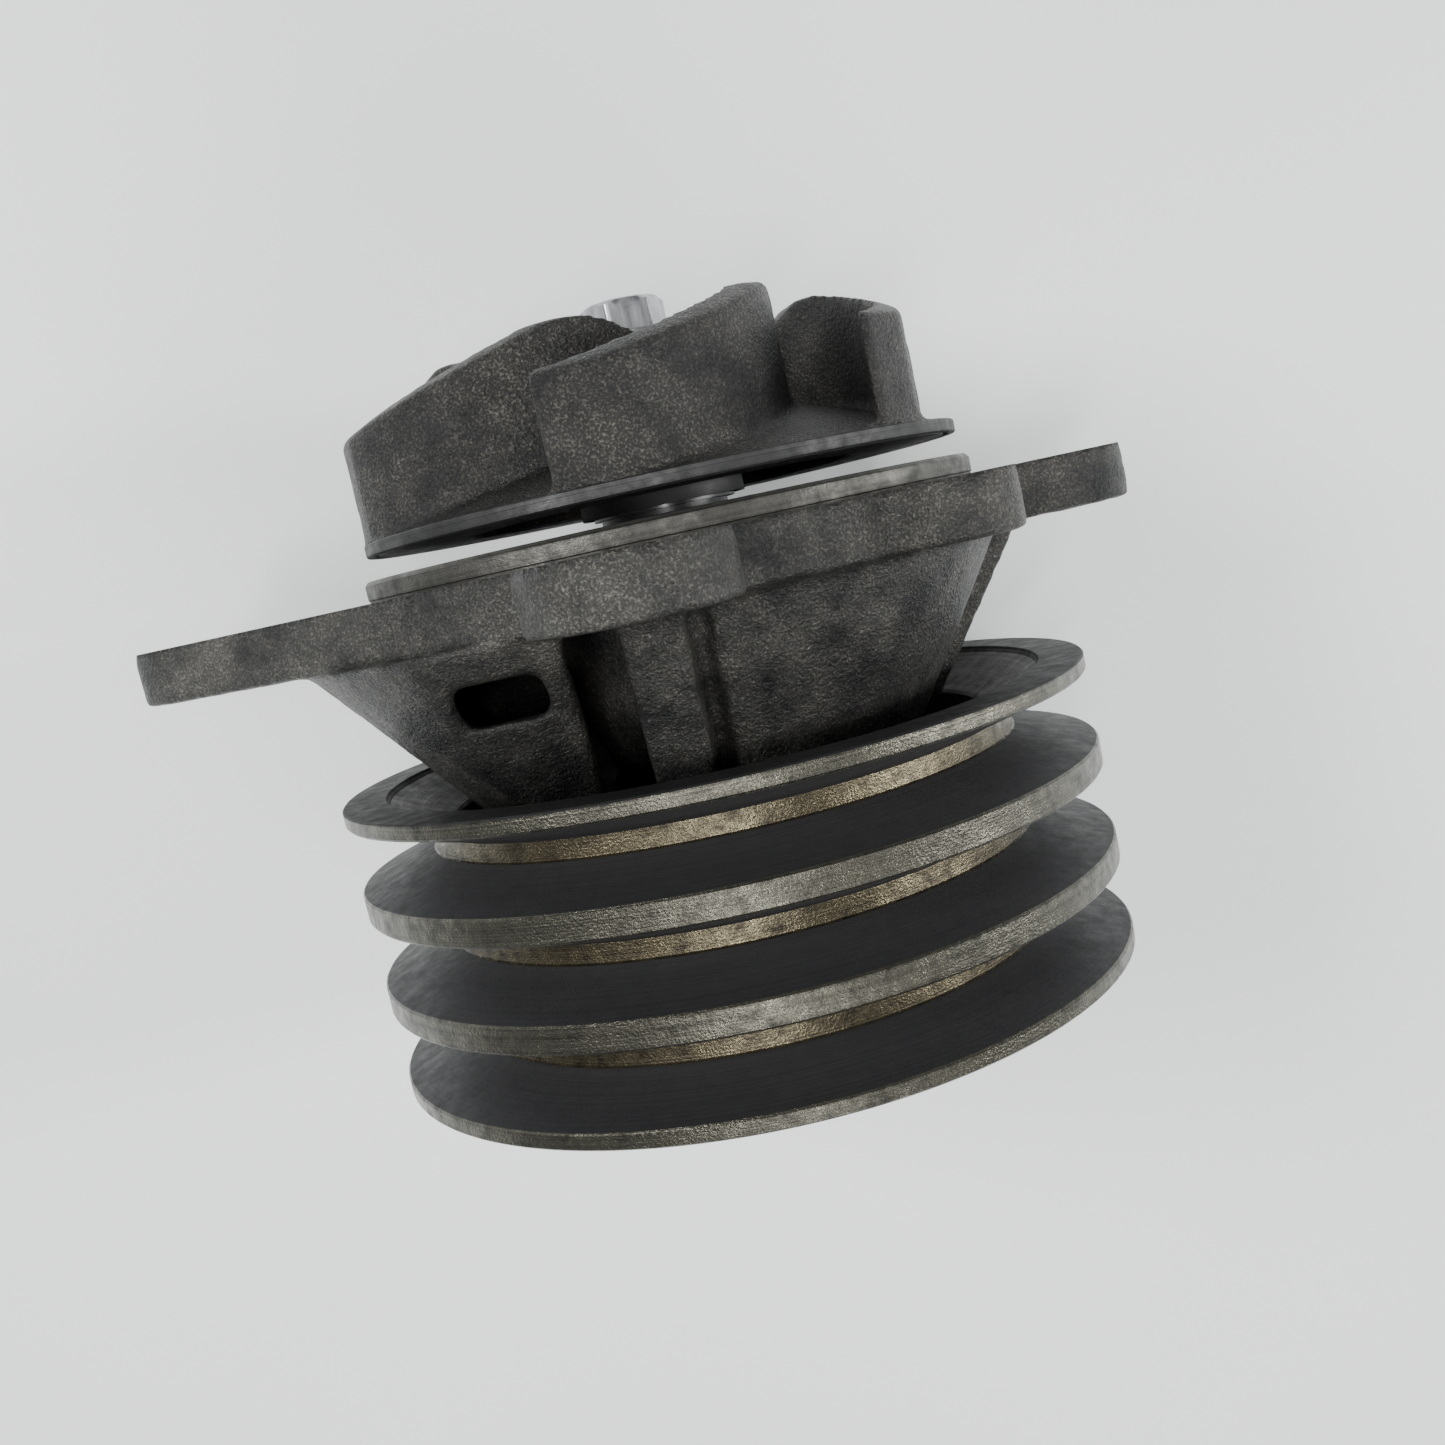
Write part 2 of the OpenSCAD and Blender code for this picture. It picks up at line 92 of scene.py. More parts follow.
def noise(tree_nodes, links, place, scale, detail=4.0, rough=0.55):
    """A noise pattern fixed to the object: its Fac output, about 1/scale metres from one bump to the next."""
    texture = tree_nodes.new("ShaderNodeTexNoise")
    texture.inputs["Scale"].default_value = scale
    texture.inputs["Detail"].default_value = detail
    texture.inputs["Roughness"].default_value = rough
    links.new(place, texture.inputs["Vector"])
    return texture.outputs["Fac"]


def ramp(tree_nodes, links, value, stops):
    """A colour ramp over a value: the two stops are (position, grey or colour). Returns the Color output."""
    node = tree_nodes.new("ShaderNodeValToRGB")
    for point, (position, colour) in zip(node.color_ramp.elements, stops):
        rgb = (colour,) * 3 if isinstance(colour, float) else colour
        point.position = position
        point.color = (*rgb, 1.0)
    links.new(value, node.inputs["Fac"])
    return node.outputs["Color"]


def mixed(tree_nodes, links, amount, first, second, blend="MIX"):
    """Blends two colours by an amount, each a number, a colour or an output. Returns the Result output."""
    node = tree_nodes.new("ShaderNodeMix")
    node.data_type = "RGBA"
    node.blend_type = blend
    for socket, value in ((node.inputs[0], amount), (node.inputs[6], first), (node.inputs[7], second)):
        if isinstance(value, bpy.types.NodeSocket):
            links.new(value, socket)
        elif isinstance(value, float):
            socket.default_value = value
        else:
            socket.default_value = (*value, 1.0)
    return node.outputs[2]


def floor_paint():
    """Pale grey paint: wide, faint clouds and a few slightly darker scuffs."""
    material, tree_nodes, links, shader = new_material("floor")
    place = tree_nodes.new("ShaderNodeTexCoord").outputs["Object"]
    clouds = noise(tree_nodes, links, place, 3.0, 2.0)
    base = ramp(tree_nodes, links, clouds, [(0.3, (0.74, 0.76, 0.755)), (0.7, (0.80, 0.82, 0.815))])
    scuffs = noise(tree_nodes, links, place, 14.0, 8.0, 0.7)
    worn = ramp(tree_nodes, links, scuffs, [(0.66, 1.0), (0.80, 0.93)])
    links.new(mixed(tree_nodes, links, 1.0, base, worn, "MULTIPLY"), shader.inputs["Base Color"])
    shader.inputs["Roughness"].default_value = 0.55
    shader.inputs["Specular IOR Level"].default_value = 0.3
    return material


floor_side = 3.0
floor_mesh = bpy.data.meshes.new("floor")
corners = np.array([[-1, -1, 0], [1, -1, 0], [1, 1, 0], [-1, 1, 0]]) * floor_side / 2
corners[:, 2] = solid_low.z
floor_mesh.from_pydata(corners.tolist(), [], [(0, 1, 2, 3)])
floor_mesh.materials.append(floor_paint())
floor = bpy.data.objects.new("floor", floor_mesh)
bpy.context.scene.collection.objects.link(floor)

room = bpy.data.worlds.new("room")
room.use_nodes = True
room.node_tree.nodes["Background"].inputs["Color"].default_value = (0.93, 0.96, 1.0, 1.0)
room.node_tree.nodes["Background"].inputs["Strength"].default_value = 0.22
bpy.context.scene.world = room


def light_panel(name, place, size, power):
    """A rectangular light that faces the middle of the pump: place and size in metres, power in watts."""
    lamp = bpy.data.lights.new(name, "AREA")
    lamp.shape = "RECTANGLE"
    lamp.size, lamp.size_y = size
    lamp.energy = power
    lamp_object = bpy.data.objects.new(name, lamp)
    lamp_object.location = place
    lamp_object.rotation_euler = (-Vector(place)).to_track_quat("-Z", "Y").to_euler()
    bpy.context.scene.collection.objects.link(lamp_object)


light_panel("window_left", (-0.8, 0.35, 0.9), (0.5, 0.4), 17.0)
light_panel("window_right", (1.05, -0.05, 0.45), (0.12, 0.7), 12.0)
light_panel("ceiling_lamp", (-0.1, -0.12, 1.3), (0.09, 0.6), 13.0)
light_panel("far_wall", (0.3, -0.85, 0.95), (0.7, 0.5), 8.0)

# ---- Housing ----
# One grey-iron casting: a lobed mounting flange, flared walls, a tapered neck for the bearings and a
# nest that reaches into the pulley. The sand mould leaves its edges rounded and its skin uneven. The
# mounting face, the pilot ring and the bolt holes are machined afterwards and are true.

nodes = frame["nodes"]


def bump(tree_nodes, links, height, distance, below=None):
    """Tilts the surface by a height pattern, whose full step is distance in metres, over a bump below."""
    node = tree_nodes.new("ShaderNodeBump")
    node.inputs["Distance"].default_value = distance
    links.new(height, node.inputs["Height"])
    if below is not None:
        links.new(below, node.inputs["Normal"])
    return node.outputs["Normal"]


def cast_iron(name, dark, light, glint):
    """Sand-cast iron: wide patches from dark to worn grey, grains as fine as sand painted bright, partly as
    worn bare metal and partly as painted glints, more where the skin is worn, by the share glint, and two
    sizes of grain in relief."""
    grain_height = 0.36 * mm
    worn_metal_and_glint = (0.27, 0.255, 0.22)
    material, tree_nodes, links, shader = new_material(name)
    place = tree_nodes.new("ShaderNodeTexCoord").outputs["Object"]
    patches = noise(tree_nodes, links, place, 60.0, 5.0, 0.6)
    clusters = noise(tree_nodes, links, place, 210.0, 4.0, 0.65)
    grains = noise(tree_nodes, links, place, 2100.0, 3.0, 0.6)
    lumps = noise(tree_nodes, links, place, 1000.0, 3.0, 0.6)
    tone = mixed(tree_nodes, links, 0.3, patches, clusters)
    base = ramp(tree_nodes, links, tone, [(0.36, dark), (0.66, light)])
    # The bright specks are partly worn bare metal and partly painted glints in the base colour.
    worn = ramp(tree_nodes, links, tone, [(0.42, 0.10), (0.63, glint)])
    specks = ramp(tree_nodes, links, grains, [(0.50, 0.0), (0.70, 1.0)])
    wear_and_glint_share = mixed(tree_nodes, links, 1.0, specks, worn, "MULTIPLY")
    links.new(mixed(tree_nodes, links, wear_and_glint_share, base, worn_metal_and_glint), shader.inputs["Base Color"])
    links.new(ramp(tree_nodes, links, grains, [(0.4, 0.50), (0.68, 0.30)]), shader.inputs["Roughness"])
    shader.inputs["Metallic"].default_value = 0.35
    shader.inputs["Specular IOR Level"].default_value = 0.3
    relief = bump(tree_nodes, links, lumps, grain_height * 1.7)
    links.new(bump(tree_nodes, links, grains, grain_height, relief), shader.inputs["Normal"])
    return material


def turned_metal(name, dark, light, ring_mm, ring_height, rough, metallic=0.9, stain=0.4,
                 pit_height=0.04 * mm):
    """Turned metal: fine rings round the shaft line, made from the distance to it and the place along it,
    about ring_mm apart, with stains that take the share stain of the tone, and small pits."""
    material, tree_nodes, links, shader = new_material(name)
    place = tree_nodes.new("ShaderNodeTexCoord").outputs["Object"]
    split = tree_nodes.new("ShaderNodeSeparateXYZ")
    links.new(place, split.inputs[0])
    across = tree_nodes.new("ShaderNodeCombineXYZ")
    links.new(split.outputs["X"], across.inputs["X"])
    links.new(split.outputs["Z"], across.inputs["Z"])
    reach = tree_nodes.new("ShaderNodeVectorMath")
    reach.operation = "LENGTH"
    links.new(across.outputs[0], reach.inputs[0])
    rings = tree_nodes.new("ShaderNodeCombineXYZ")
    links.new(reach.outputs["Value"], rings.inputs["X"])
    links.new(split.outputs["Y"], rings.inputs["Y"])
    lines = noise(tree_nodes, links, rings.outputs[0], 1.0 / (ring_mm * mm), 2.0, 0.7)
    stains = noise(tree_nodes, links, place, 260.0, 7.0, 0.7)
    pits = noise(tree_nodes, links, place, 1900.0, 3.0, 0.6)
    tone = mixed(tree_nodes, links, stain, lines, stains)
    links.new(ramp(tree_nodes, links, tone, [(0.36, dark), (0.64, light)]), shader.inputs["Base Color"])
    dullness = ramp(tree_nodes, links, stains, [(0.35, rough + 0.16), (0.7, rough - 0.06)])
    links.new(dullness, shader.inputs["Roughness"])
    shader.inputs["Metallic"].default_value = metallic
    relief = bump(tree_nodes, links, pits, pit_height)
    links.new(bump(tree_nodes, links, lines, ring_height, relief), shader.inputs["Normal"])
    return material


def merged_copy(node_name, piece_name):
    """A copy of a frame node's mesh with its loose triangles joined into one closed skin."""
    mesh = nodes[node_name].data.copy()
    mesh.materials.clear()
    piece = bpy.data.objects.new(piece_name, mesh)
    bpy.context.scene.collection.objects.link(piece)
    weld = piece.modifiers.new("weld", "WELD")
    weld.merge_threshold = 0.01 * mm
    return piece


def settle(piece):
    """Works the piece's modifiers into its mesh."""
    bpy.context.view_layer.update()
    seen = piece.evaluated_get(bpy.context.evaluated_depsgraph_get())
    mesh = bpy.data.meshes.new_from_object(seen)
    piece.modifiers.clear()
    piece.data = mesh


def rows_of(items, what):
    """One value of three numbers for each item of a mesh, such as its points' co or normal, as an array."""
    flat = np.empty(len(items) * 3, np.float32)
    items.foreach_get(what, flat)
    return flat.reshape(-1, 3).astype(float)


def place_points(mesh, points):
    """Moves the mesh's points to the array's rows."""
    mesh.vertices.foreach_set("co", points.astype(np.float32).ravel())
    mesh.update()


def relaxed(points, edges, passes):
    """Moves each point half way to the mean of its neighbours, passes times."""
    count = len(points)
    neighbours = np.bincount(edges.ravel(), minlength=count)[:, None]
    for step in range(passes):
        sums = np.stack([
            np.bincount(edges[:, 0], points[edges[:, 1], axis], count)
            + np.bincount(edges[:, 1], points[edges[:, 0], axis], count) for axis in range(3)], axis=1)
        points = points + 0.5 * (sums / neighbours - points)
    return points


def unevenness(points, seed, shortest, longest, height):
    """The sum of 48 sine waves with seeded random directions, phases and lengths: longer ones are higher, and
    the whole is about height high."""
    random = np.random.default_rng(seed)
    count = 48
    directions = random.normal(size=(count, 3))
    directions /= np.linalg.norm(directions, axis=1, keepdims=True)
    lengths = np.exp(random.uniform(np.log(shortest), np.log(longest), count))
    phases = random.uniform(0, 2 * np.pi, count)
    waves = np.sin(points @ (directions * (2 * np.pi / lengths)[:, None]).T + phases)
    return height * (waves * (lengths / longest)).sum(axis=1) / np.sqrt(count / 8)


def casting(node_name, piece_name, voxel, passes, machined, seed, height):
    """A sand-cast piece: the merged solid remeshed in cubes of side voxel, relaxed so that its edges round
    over, and pushed in by the mould's unevenness less its height, never out. Where machined(points) is 1 it
    keeps its level along the shaft."""
    piece = merged_copy(node_name, piece_name)
    remesh = piece.modifiers.new("remesh", "REMESH")
    remesh.mode = "VOXEL"
    remesh.voxel_size = voxel
    settle(piece)
    mesh = piece.data
    points = rows_of(mesh.vertices, "co")
    edges = np.empty(len(mesh.edges) * 2, np.int32)
    mesh.edges.foreach_get("vertices", edges)
    keep = machined(points)
    level = points[:, 1]
    points = relaxed(points, edges.reshape(-1, 2), passes)
    points[:, 1] = np.where(keep > 0, level, points[:, 1])
    place_points(mesh, points)
    lift = np.minimum(unevenness(points, seed, 2.2 * mm, 9 * mm, height) - height, 0)
    points = points + ((1 - keep) * lift)[:, None] * rows_of(mesh.vertices, "normal")
    place_points(mesh, np.clip(points, *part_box(node_name)))
    mesh.shade_smooth()
    return piece


def new_piece(name, points, faces):
    """An object from an array of points and a list of faces, smooth but for its sharp corners."""
    mesh = bpy.data.meshes.new(name)
    mesh.from_pydata(points.tolist(), [], faces)
    mesh.update()
    mesh.shade_smooth()
    mesh.set_sharp_from_angle(angle=math.radians(28))
    piece = bpy.data.objects.new(name, mesh)
    bpy.context.scene.collection.objects.link(piece)
    return piece


def lathe(name, profile, sides=240):
    """A solid of revolution round the shaft line: each row of profile is a place along Y, a radius and the
    material's number for the band up to the next row, and the last row joins the first. X is the radius times
    the cosine of the turn and Z the radius times its sine. The rows go round the section clockwise, with the
    radius to the right and Y up, so that the faces look outwards."""
    y, radius, band = np.array(profile).T
    turn = np.linspace(0, 2 * np.pi, sides, endpoint=False)
    shape = (len(y), sides)
    level = np.broadcast_to(y[:, None], shape)
    points = np.stack([radius[:, None] * np.cos(turn), level, radius[:, None] * np.sin(turn)], axis=-1)
    at = np.arange(len(y) * sides).reshape(shape)
    after = np.roll(at, -1, axis=0)
    faces = np.stack([at, np.roll(at, -1, axis=1), np.roll(after, -1, axis=1), after], axis=-1)
    piece = new_piece(name, points.reshape(-1, 3), faces.reshape(-1, 4).tolist())
    piece.data.polygons.foreach_set("material_index", np.repeat(band.astype(np.int32), sides))
    return piece


def finish(piece, node_names, material, body):
    """Puts a new piece in place of its frame nodes, with its material, slot and body."""
    piece.data.materials.append(material)
    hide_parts(*node_names)
    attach(piece, body)


def face_off(piece, material, level):
    """Gives a casting's machined flat its turned finish: the faces above a level that look along +Y."""
    mesh = piece.data
    centre = rows_of(mesh.polygons, "center")
    outward = rows_of(mesh.polygons, "normal")
    mesh.materials.append(material)
    flat = (centre[:, 1] > level) & (outward[:, 1] > 0.97)
    mesh.polygons.foreach_set("material_index", flat.astype(np.int32) * (len(mesh.materials) - 1))


face_band = 0.25 * mm


def housing_machined(points):
    """1 on the mounting face and above it, and 0 on the cast skin."""
    return (points[:, 1] > -face_band).astype(float)


housing = casting("housing", "housing_casting", 1.2 * mm, 4, housing_machined, 7, 0.06 * mm)

pilot_r = 64.2 * mm
seal_hole_r = 24.3 * mm
under_ring = -2.7 * mm
pressed = 0.01

# The casting's skin is pressed down under the turned ring, and elsewhere to the mounting face, and its
# bolt holes are drawn to their drilled radius. It stays closed, because it is never pressed quite flat.
skin = rows_of(housing.data.vertices, "co")
reach = np.hypot(skin[:, 0], skin[:, 2])
under_pilot = (reach < pilot_r - mm) & (reach > seal_hole_r)
seat = np.where(under_pilot, under_ring, 0.0)
skin[:, 1] = np.where(skin[:, 1] > seat, seat + pressed * (skin[:, 1] - seat), skin[:, 1])

hole_r = 5.3 * mm
hole_skin = 0.9 * mm
hole_end = -12.5 * mm
for hole in frame["record"]["mounts"]:
    if hole["kind"] == "bore":
        centre = np.array(hole["pos_m"])[[0, 2]]
        away = skin[:, ::2] - centre
        radius = np.linalg.norm(away, axis=1, keepdims=True)
        on_wall = (np.abs(radius - hole_r) < hole_skin) & (skin[:, 1:2] > hole_end)
        drilled = hole_r + pressed * (radius - hole_r)
        skin[:, ::2] = np.where(on_wall, centre + away * drilled / np.maximum(radius, mm), skin[:, ::2])
place_points(housing.data, skin)

housing_iron = cast_iron("housing_iron", (0.0065, 0.007, 0.0078), (0.046, 0.0455, 0.041), 0.5)
faced_iron = turned_metal("faced_iron", (0.030, 0.030, 0.028), (0.10, 0.098, 0.088), 0.45, 0.05 * mm, 0.40,
                          stain=0.55, pit_height=0.10 * mm)
finish(housing, ["housing"], housing_iron, "housing")
face_off(housing, faced_iron, -0.2 * mm)

pilot_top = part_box("housing")[1].y
ring_inner_r = 56.0 * mm
ring_hidden_r = 62.0 * mm
recess_floor = -2.0 * mm
pilot_ring = lathe("housing_pilot", [
    (recess_floor - mm, ring_hidden_r, 0),
    (recess_floor - mm, seal_hole_r, 0),
    (recess_floor, seal_hole_r, 0),
    (recess_floor, ring_inner_r - 1.9 * mm, 0),
    (recess_floor + 0.4 * mm, ring_inner_r - 1.4 * mm, 0),
    (pilot_top - 0.3 * mm, ring_inner_r, 0),
    (pilot_top, ring_inner_r + 0.3 * mm, 0),
    (pilot_top, pilot_r - 0.7 * mm, 0),
    (pilot_top - 0.8 * mm, pilot_r, 0),
    (0.7 * mm, pilot_r, 0),
    (0.5 * mm, pilot_r - 0.25 * mm, 0),
    (-0.4 * mm, pilot_r - 0.3 * mm, 0),
    (-0.4 * mm, ring_hidden_r, 0)])
finish(pilot_ring, ["housing"], faced_iron, "housing")

# ---- Impeller ----
# An open iron casting: six curved vanes on a thin plate, left as cast but for the plate's rim and
# underside, which are turned. A shallow groove runs round the underside near the rim.

plate_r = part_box("impeller")[1].z
plate_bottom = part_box("impeller")[0].y
plate_t = 2.6 * mm
plate_inner_r = 41.2 * mm
impeller_hub_r = 10 * mm
plate_machined_to = 9.4 * mm


def impeller_machined(points):
    """1 on the plate's lower part and in the hub, which are machined, and 0 on the cast vanes."""
    reach = np.hypot(points[:, 0], points[:, 2])
    return ((points[:, 1] < plate_machined_to) | (reach < impeller_hub_r)).astype(float)


impeller = casting("impeller", "impeller_casting", 0.8 * mm, 6, impeller_machined, 11, 0.03 * mm)

# The casting is drawn in behind the turned rim and the turned underside.
skin = rows_of(impeller.data.vertices, "co")
reach = np.hypot(skin[:, 0], skin[:, 2])
tucked = np.minimum(reach, plate_r - 0.6 * mm) / np.maximum(reach, mm)
skin[:, ::2] *= np.where(skin[:, 1] < plate_bottom + 2.5 * mm, tucked, 1.0)[:, None]
raised = np.maximum(skin[:, 1], plate_bottom + 0.5 * mm)
skin[:, 1] = np.where(reach > plate_inner_r - 0.4 * mm, raised, skin[:, 1])
place_points(impeller.data, skin)

impeller_iron = cast_iron("impeller_iron", (0.008, 0.008, 0.0088), (0.029, 0.0285, 0.026), 0.42)
finish(impeller, ["impeller"], impeller_iron, "rotor")

rim_break = 0.25 * mm
plate_rim = lathe("impeller_rim", [
    (plate_bottom, plate_inner_r, 0),
    (plate_bottom + 0.9 * mm, plate_inner_r - 0.3 * mm, 0),
    (plate_bottom + 0.9 * mm, 60 * mm, 0),
    (plate_bottom + plate_t, 61 * mm, 0),
    (plate_bottom + plate_t, plate_r - rim_break, 0),
    (plate_bottom + plate_t - rim_break, plate_r, 0),
    (plate_bottom + rim_break, plate_r, 0),
    (plate_bottom, plate_r - rim_break, 0),
    (plate_bottom, plate_r - 1.5 * mm, 0),
    (plate_bottom + 0.5 * mm, plate_r - 1.6 * mm, 0),
    (plate_bottom + 0.5 * mm, plate_r - 2.5 * mm, 0),
    (plate_bottom, plate_r - 2.6 * mm, 0)])
rim_iron = turned_metal("impeller_rim_iron", (0.016, 0.016, 0.016), (0.042, 0.043, 0.042), 0.4, 0.04 * mm,
                        0.46, metallic=0.7, stain=0.5)
finish(plate_rim, ["impeller"], rim_iron, "rotor")

# ---- Pulley ----
# A three-groove belt pulley, cast and then turned all over. The belts rub its rims and groove floors
# bright, while the groove walls and the cup round the housing keep a dark skin of oil and oxide. Its end
# face is painted dark, as painted shade where the lamps barely reach. Two holes through the web take a
# puller.

pulley_low, pulley_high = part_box("pulley")
pulley_r = pulley_high.z
rim_top = pulley_high.y
rim_end = pulley_low.y
edge = 0.35 * mm
RIM, WALL, FLOOR, FACE, CUP, OUTER, BORE = range(7)

groove_pitch = 19.76 * mm
groove_top_w = 14.45 * mm
groove_depth = 16.5 * mm
groove_floor_w = groove_top_w - 2 * groove_depth * math.tan(math.radians(17))
floor_r = pulley_r - groove_depth
end_rim_w = 3.2 * mm


def groove_rows(middle):
    """The section of one V groove from its upper rim to its lower rim, with its edges broken."""
    top = groove_top_w / 2
    low = groove_floor_w / 2
    return [
        (middle + top + edge, pulley_r, RIM),
        (middle + top - 0.1 * mm, pulley_r - edge, WALL),
        (middle + low, floor_r + edge, WALL),
        (middle + low - edge, floor_r, FLOOR),
        (middle - low + edge, floor_r, FLOOR),
        (middle - low, floor_r + edge, WALL),
        (middle - top + 0.1 * mm, pulley_r - edge, RIM),
        (middle - top - edge, pulley_r, RIM)]


hub_face = rim_end + 9.9 * mm
web_top = hub_face + 10 * mm
web_bottom = web_top - 8 * mm
hub_top = -75.0 * mm
collar_end = -72.5 * mm
hub_r = 21.0 * mm
bore_r = 11.5 * mm
cup_r = 57.0 * mm
mouth_r = 70.0 * mm

section = [
    (rim_top, mouth_r + 0.4 * mm, FACE),
    (rim_top, pulley_r - edge, FACE),
    (rim_top - edge, pulley_r, RIM)]
for groove in range(3):
    section += groove_rows(rim_top - end_rim_w - groove_top_w / 2 - groove * groove_pitch)
section += [
    (rim_end + edge, pulley_r, RIM),
    (rim_end, pulley_r - edge, OUTER),
    (rim_end, cup_r + 1.6 * mm, OUTER),
    (rim_end + 0.6 * mm, cup_r + mm, OUTER),
    (web_bottom - 3 * mm, cup_r + 0.2 * mm, OUTER),
    (web_bottom - 0.9 * mm, cup_r - 0.7 * mm, OUTER),
    (web_bottom, cup_r - 3 * mm, OUTER),
    (web_bottom, hub_r + 3.2 * mm, OUTER),
    (web_bottom - 0.7 * mm, hub_r + 0.8 * mm, OUTER),
    (hub_face + 0.5 * mm, hub_r, OUTER),
    (hub_face, hub_r - 0.5 * mm, OUTER),
    (hub_face, bore_r + 0.5 * mm, BORE),
    (hub_face + 0.5 * mm, bore_r, BORE),
    (collar_end, bore_r, BORE),
    (collar_end, bore_r + 3.5 * mm, BORE),
    (hub_top, bore_r + 3.5 * mm, BORE),
    (hub_top, hub_r, CUP),
    (web_top + 0.8 * mm, hub_r, CUP),
    (web_top, hub_r + 0.8 * mm, CUP),
    (web_top, cup_r - 2.4 * mm, CUP),
    (web_top + 0.7 * mm, cup_r - 0.7 * mm, CUP),
    (web_top + 2.4 * mm, cup_r, CUP),
    (rim_top - 7.9 * mm, cup_r, CUP),
    (rim_top - 7.2 * mm, cup_r + 0.5 * mm, CUP),
    (rim_top - 1.2 * mm, mouth_r - 0.4 * mm, CUP),
    (rim_top - 0.5 * mm, mouth_r, FACE)]
pulley = lathe("pulley_turned", section)

pulley_finishes = [
    turned_metal("pulley_rim_metal", (0.018, 0.018, 0.015), (0.115, 0.111, 0.088), 0.35, 0.04 * mm, 0.25,
                 metallic=0.85, stain=0.65, pit_height=0.14 * mm),
    turned_metal("pulley_wall_metal", (0.026, 0.026, 0.027), (0.040, 0.040, 0.042), 0.5, 0.012 * mm, 0.5,
                 metallic=0.5),
    turned_metal("pulley_floor_metal", (0.016, 0.014, 0.011), (0.145, 0.124, 0.078), 0.4, 0.05 * mm, 0.25,
                 metallic=0.85, stain=0.7, pit_height=0.14 * mm),
    # The end face's tones are set dark as painted shade, for a face that the lamps barely reach.
    turned_metal("pulley_face_metal", (0.014, 0.014, 0.015), (0.032, 0.032, 0.032), 0.4, 0.03 * mm, 0.5,
                 metallic=0.7),
    turned_metal("pulley_cup_metal", (0.06, 0.06, 0.058), (0.17, 0.17, 0.165), 0.9, 0.12 * mm, 0.45),
    turned_metal("pulley_outer_metal", (0.07, 0.07, 0.068), (0.2, 0.2, 0.195), 0.8, 0.10 * mm, 0.45)]
for material in pulley_finishes:
    pulley.data.materials.append(material)


def drill(name, centre, radius, length):
    """A closed round cutter along Y, turned a little so that its corners lie on no edge of the pulley."""
    sides = 32
    turn = np.linspace(0, 2 * np.pi, sides, endpoint=False) + 0.05
    ring = np.stack([radius * np.cos(turn), np.zeros(sides), radius * np.sin(turn)], axis=-1)
    ring = ring + np.array(centre)
    points = np.concatenate([ring - [0, length / 2, 0], ring + [0, length / 2, 0]])
    at = np.arange(sides)
    wall = np.stack([at, at + sides, np.roll(at, -1) + sides, np.roll(at, -1)], axis=-1).tolist()
    return new_piece(name, points, wall + [at.tolist(), (at[::-1] + sides).tolist()])


def cut_away(piece, cutter):
    """Takes the cutter's shape out of the piece and throws the cutter away."""
    cut = piece.modifiers.new("cut", "BOOLEAN")
    cut.operation = "DIFFERENCE"
    cut.solver = "EXACT"
    cut.object = cutter
    settle(piece)
    bpy.data.objects.remove(cutter)


puller_r = 4.5 * mm
puller_reach = 39 * mm
for side in (-1, 1):
    centre = (0, (web_top + web_bottom) / 2, side * puller_reach)
    cut_away(pulley, drill("puller_hole", centre, puller_r, 14 * mm))
finish(pulley, ["pulley"], pulley_finishes[FACE], "rotor")

# ---- Bolts and washers ----
# Hexagon bolts hold the impeller and the pulley on the ends of the shaft. They are bright zinc-plated
# steel, forged, with the heads' corners cut back to a cone, each on a thick plain washer.


def hex_bolt(name, washer_face, out, flats, head_h, shank_r, shank_l, turn_deg):
    """A bolt along Y: the radius is the shank's or, on the head, the smaller of a hexagon's, which repeats
    every 60 degrees, and a cone's that cuts its corners back. out is 1 or -1, the way the head points."""
    turn = np.linspace(0, 2 * np.pi, 144, endpoint=False)
    wedge = np.mod(turn - math.radians(turn_deg) + np.pi / 6, np.pi / 3) - np.pi / 6
    hexagon = flats / 2 / np.maximum(np.cos(wedge), math.cos(math.radians(28.6)))
    along = np.array([-shank_l, -shank_l + 0.8 * mm, 0, 0, 0.35 * mm, 0.4 * mm, head_h - 1.5 * mm,
                      head_h - 0.9 * mm, head_h - 0.25 * mm, head_h, head_h, head_h - 0.15 * mm])
    limit = np.array([shank_r - 0.8 * mm, shank_r, shank_r, 0.47 * flats, 0.475 * flats, flats, flats,
                      0.566 * flats, 0.50 * flats, 0.475 * flats, 0.3 * flats, 0.05 * flats])
    radius = np.minimum(limit[:, None], hexagon[None, :])
    radius[:3] = limit[:3, None]
    rows, sides = radius.shape
    y = np.broadcast_to((washer_face + out * along)[:, None], radius.shape)
    points = np.stack([radius * np.cos(turn), y, radius * np.sin(turn)], axis=-1)
    at = np.arange(rows * sides).reshape(rows, sides)
    after = np.roll(at, -1, axis=1)
    faces = np.stack([at[:-1], at[1:], after[1:], after[:-1]], axis=-1).reshape(-1, 4)
    ends = [at[0].tolist()[::out], at[-1].tolist()[::-out]]
    return new_piece(name, points.reshape(-1, 3), faces[:, ::out].tolist() + ends)


def flat_washer(name, node, hole_r):
    """A plain washer with a broken edge, as wide and thick as its frame node."""
    low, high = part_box(node)
    soft = 0.3 * mm
    return lathe(name, [
        (low.y, hole_r, 0),
        (high.y, hole_r, 0),
        (high.y, high.z - soft, 0),
        (high.y - soft, high.z, 0),
        (low.y + soft, high.z, 0),
        (low.y, high.z - soft, 0)], 96)


